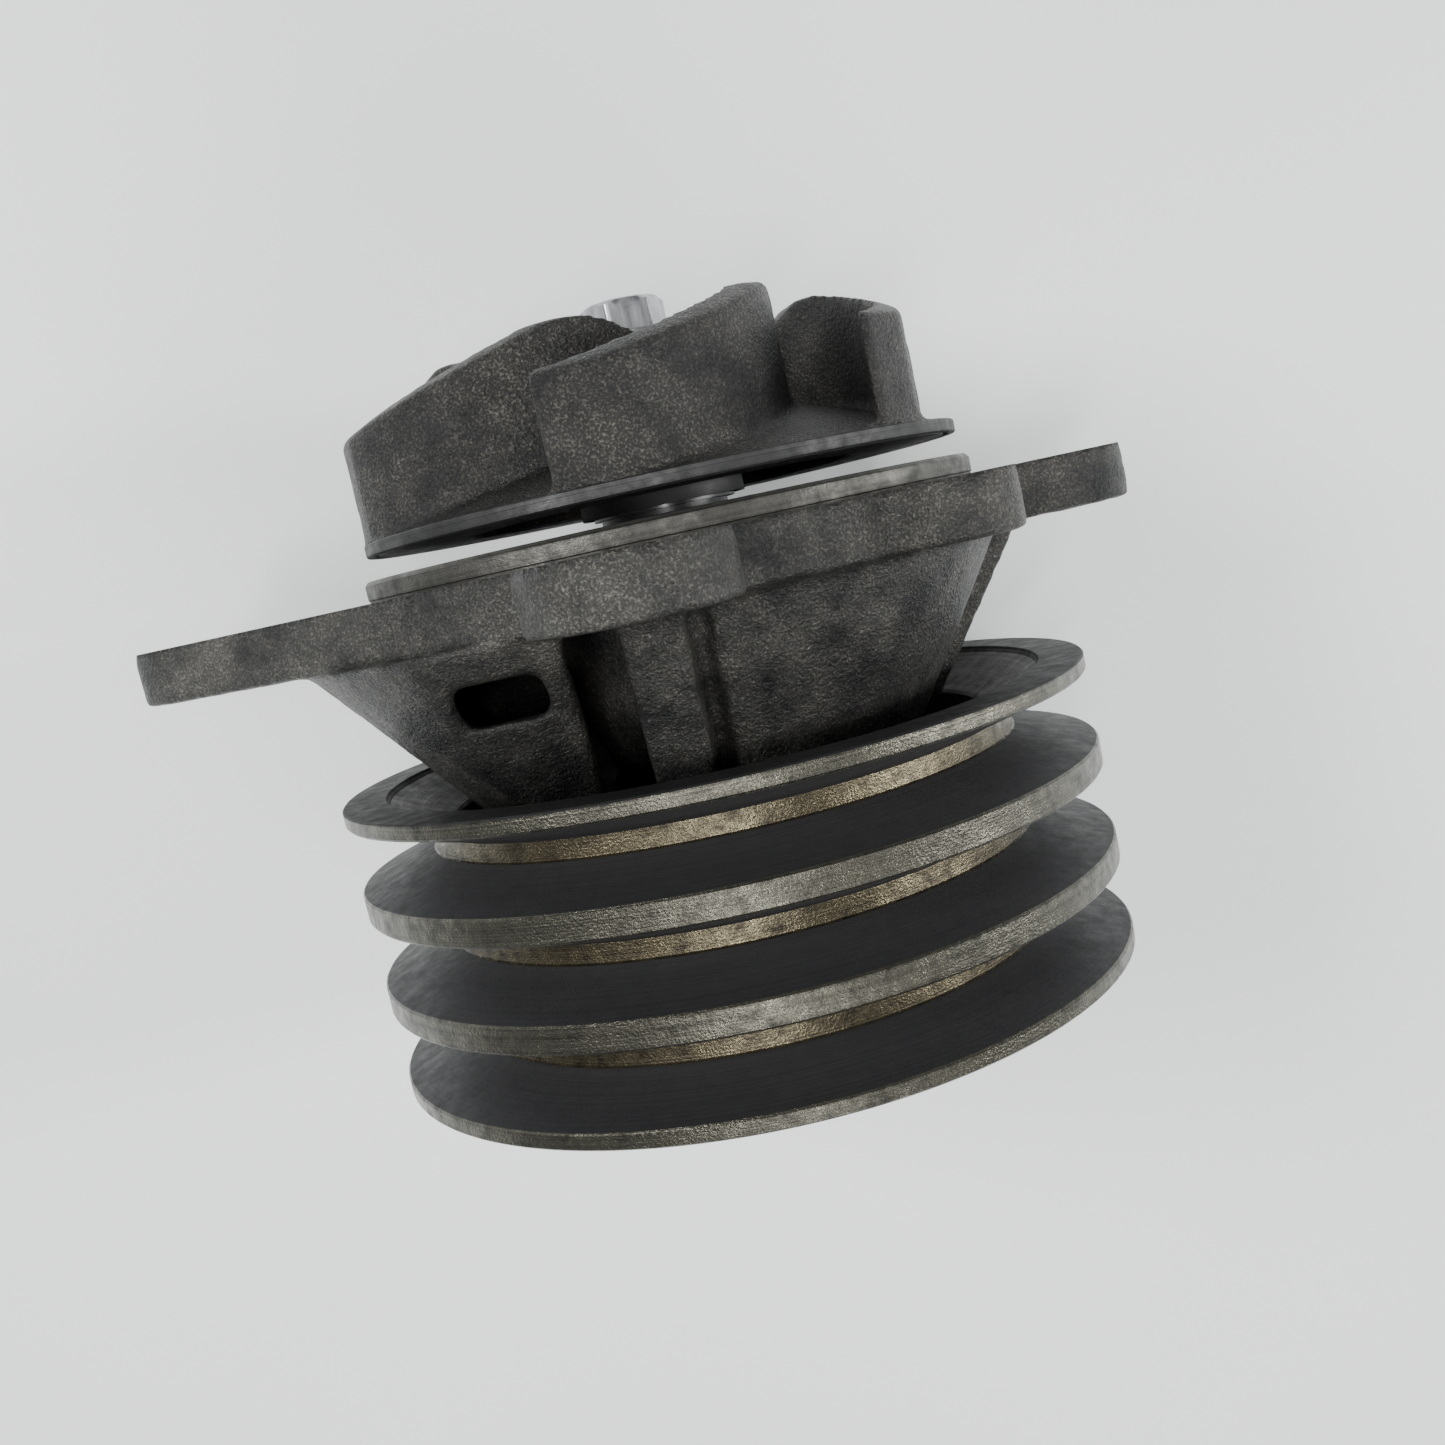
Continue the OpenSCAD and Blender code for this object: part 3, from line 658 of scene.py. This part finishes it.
def plated_steel(name, tone, rough):
    """Bright plated steel: nearly even, with faint streaks along the shaft line and a few dull spots."""
    material, tree_nodes, links, shader = new_material(name)
    place = tree_nodes.new("ShaderNodeTexCoord").outputs["Object"]
    stretch = tree_nodes.new("ShaderNodeMapping")
    stretch.inputs["Scale"].default_value = (1.0, 0.08, 1.0)
    links.new(place, stretch.inputs["Vector"])
    streaks = noise(tree_nodes, links, stretch.outputs["Vector"], 900.0, 3.0, 0.6)
    spots = noise(tree_nodes, links, place, 260.0, 5.0, 0.6)
    tint = mixed(tree_nodes, links, 0.4, streaks, spots)
    dark = tuple(0.62 * part for part in tone)
    links.new(ramp(tree_nodes, links, tint, [(0.35, dark), (0.6, tone)]), shader.inputs["Base Color"])
    dullness = ramp(tree_nodes, links, spots, [(0.3, rough + 0.12), (0.7, rough - 0.04)])
    links.new(dullness, shader.inputs["Roughness"])
    shader.inputs["Metallic"].default_value = 0.95
    links.new(bump(tree_nodes, links, streaks, 0.04 * mm), shader.inputs["Normal"])
    return material


bolt_zinc = plated_steel("bolt_zinc", (0.44, 0.45, 0.465), 0.28)
washer_zinc = plated_steel("washer_zinc", (0.27, 0.27, 0.265), 0.40)

washer_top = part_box("impeller_washer")[1].y
bolt_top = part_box("impeller_bolt")[1].y
impeller_bolt = hex_bolt("impeller_bolt_forged", washer_top, 1, 15.88 * mm, bolt_top - washer_top,
                         5.55 * mm, 28.0 * mm, 20)
finish(impeller_bolt, ["impeller_bolt"], bolt_zinc, "rotor")
impeller_washer = flat_washer("impeller_washer_plain", "impeller_washer", 5.85 * mm)
finish(impeller_washer, ["impeller_washer"], washer_zinc, "rotor")

washer_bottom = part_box("pulley_washer")[0].y
pulley_bolt_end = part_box("pulley_bolt")[0].y
pulley_bolt = hex_bolt("pulley_bolt_forged", washer_bottom, -1, 19.05 * mm, washer_bottom - pulley_bolt_end,
                       6.35 * mm, 20.0 * mm, -10)
finish(pulley_bolt, ["pulley_bolt"], bolt_zinc, "rotor")
pulley_washer = flat_washer("pulley_washer_plain", "pulley_washer", 6.65 * mm)
finish(pulley_washer, ["pulley_washer"], washer_zinc, "rotor")

# ---- Seals, shaft and bearings ----
# The rubber, carbon and ceramic of the face seal show as a black block between impeller and flange.
# The ground shaft, the two ball bearings, their cages and the lip and dust seals sit inside the neck.


def rubber(name, tone, rough=0.62, grain_height=0.06 * mm):
    """Moulded rubber or pressed carbon: nearly black, dull, with a fine grain and lighter dusty patches."""
    material, tree_nodes, links, shader = new_material(name)
    place = tree_nodes.new("ShaderNodeTexCoord").outputs["Object"]
    dust = noise(tree_nodes, links, place, 160.0, 5.0, 0.6)
    fine = noise(tree_nodes, links, place, 1500.0, 2.0, 0.5)
    light = tuple(1.7 * part + 0.006 for part in tone)
    links.new(ramp(tree_nodes, links, dust, [(0.4, tone), (0.75, light)]), shader.inputs["Base Color"])
    dullness = ramp(tree_nodes, links, dust, [(0.3, rough - 0.08), (0.7, rough + 0.1)])
    links.new(dullness, shader.inputs["Roughness"])
    links.new(bump(tree_nodes, links, fine, grain_height), shader.inputs["Normal"])
    return material


def dress(material, node_names):
    """Gives frame nodes a finish through the material slots that they already have."""
    for node_name in node_names:
        for place in nodes[node_name].material_slots:
            place.material = material


dress(rubber("seal_rubber", (0.008, 0.008, 0.009)),
      ["seat_cup", "seal_boot", "seal_shell", "slinger", "dust_seal"])
dress(rubber("seal_carbon", (0.02, 0.02, 0.022), 0.35, 0.01 * mm), ["seal_carbon"])
dress(rubber("seal_ceramic", (0.022, 0.022, 0.024), 0.3, 0.01 * mm), ["seat_ring"])
dress(rubber("lip_rubber", (0.06, 0.026, 0.018), 0.5), ["lip_seal"])
dress(plated_steel("cage_brass", (0.56, 0.42, 0.19), 0.3), ["rear_cage", "front_cage"])
dress(plated_steel("spring_steel", (0.5, 0.5, 0.5), 0.3),
      ["seal_spring", "garter_spring", "snap_ring", "pulley_key"])
dress(plated_steel("ball_steel", (0.78, 0.79, 0.8), 0.1), ["rear_balls", "front_balls"])
dress(turned_metal("shaft_steel", (0.3, 0.3, 0.3), (0.5, 0.5, 0.5), 0.15, 0.01 * mm, 0.28), ["shaft"])
dress(turned_metal("bearing_steel", (0.45, 0.46, 0.47), (0.6, 0.61, 0.62), 0.12, 0.006 * mm, 0.2),
      ["rear_outer_ring", "rear_inner_ring", "front_outer_ring", "front_inner_ring"])
